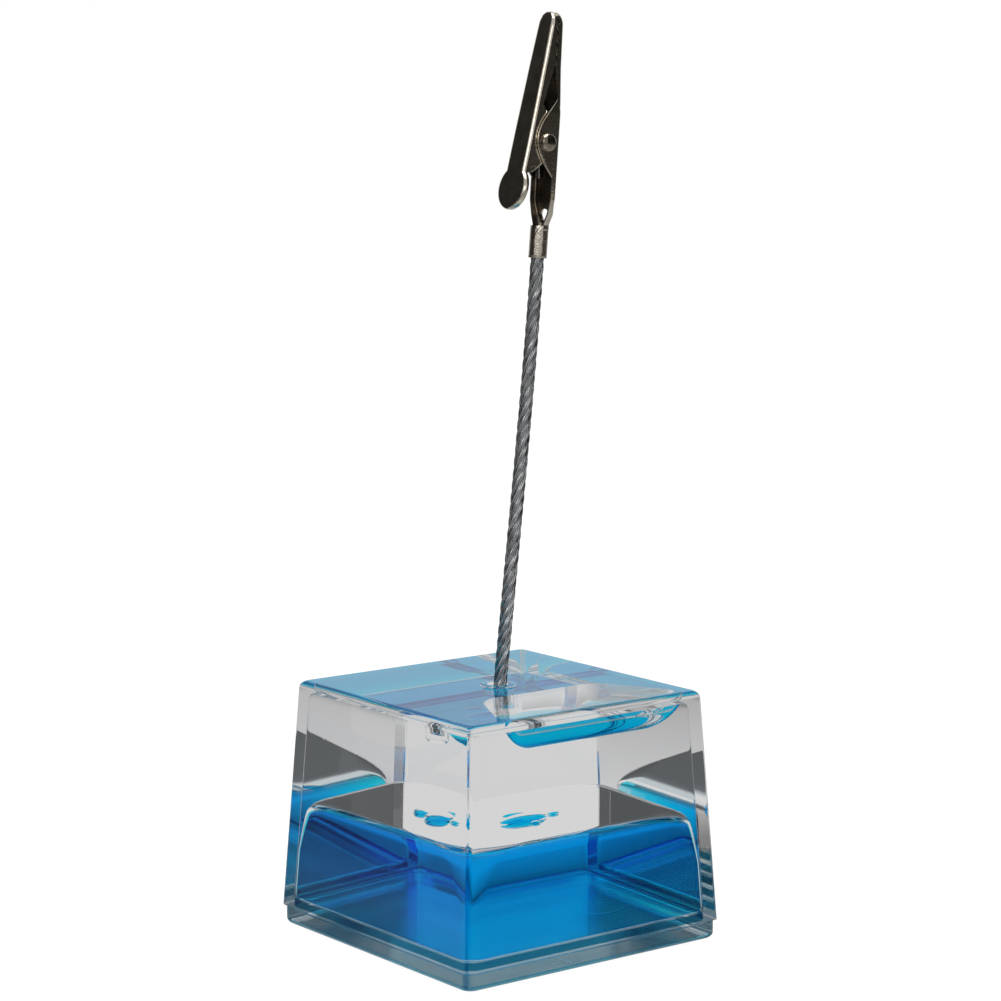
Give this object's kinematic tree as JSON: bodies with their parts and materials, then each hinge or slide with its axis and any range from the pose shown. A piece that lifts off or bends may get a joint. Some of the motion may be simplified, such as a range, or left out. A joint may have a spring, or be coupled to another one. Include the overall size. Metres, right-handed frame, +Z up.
{
  "type": "memo holder",
  "caption": "Memo holder: a clear tapered base filled with oil over dyed water, a wire rope stem, and a sprung toothed clip that grips a note.",
  "frame": {"origin": "centre of the underside of the base plate, on the surface that the holder stands on", "axes": "+Z up along the stem, +Y toward the back of the fixed jaw, the way the stem leans, and +X along the rivet of the clip"},
  "size_m": [0.05, 0.05, 0.1455],
  "materials": {
    "clear_plastic": "clear moulded plastic, polished",
    "clear_oil": "clear liquid",
    "dyed_water": "clear blue liquid",
    "nickel_plate": "bright nickel plate on stamped steel sheet",
    "rope_steel": "bright drawn steel wire",
    "spring_steel": "drawn spring wire"
  },
  "bodies": {
    "base": {"clear_case": "clear_plastic", "base_plate": "clear_plastic", "fill_plug": "clear_plastic", "blue_liquid": "dyed_water", "clear_oil": "clear_oil", "blue_droplet_1": "dyed_water", "blue_droplet_2": "dyed_water", "blue_droplet_3": "dyed_water", "blue_droplet_4": "dyed_water"},
    "clip_frame": {"stem_rope": "rope_steel", "fixed_jaw": "nickel_plate", "jaw_rivet": "nickel_plate", "jaw_spring": "spring_steel"},
    "jaw": {"moving_jaw": "nickel_plate"}
  },
  "joints": [
    {"name": "stem_bend", "type": "hinge", "parent": "base", "child": "clip_frame", "pos_m": [0, 0, 0.0399], "axis": [1, 0, 0], "range_deg": [-20, 20], "stiffness_Nm_per_rad": 0.4, "deforming": ["stem_rope"]},
    {"name": "jaw_hinge", "type": "hinge", "parent": "clip_frame", "child": "jaw", "pos_m": [0, 0.00778, 0.12533], "axis": [1, 0, 0], "range_deg": [0, 27], "stiffness_Nm_per_rad": 0.05, "springref_deg": -28.65, "deforming": ["jaw_spring"]}
  ]
}
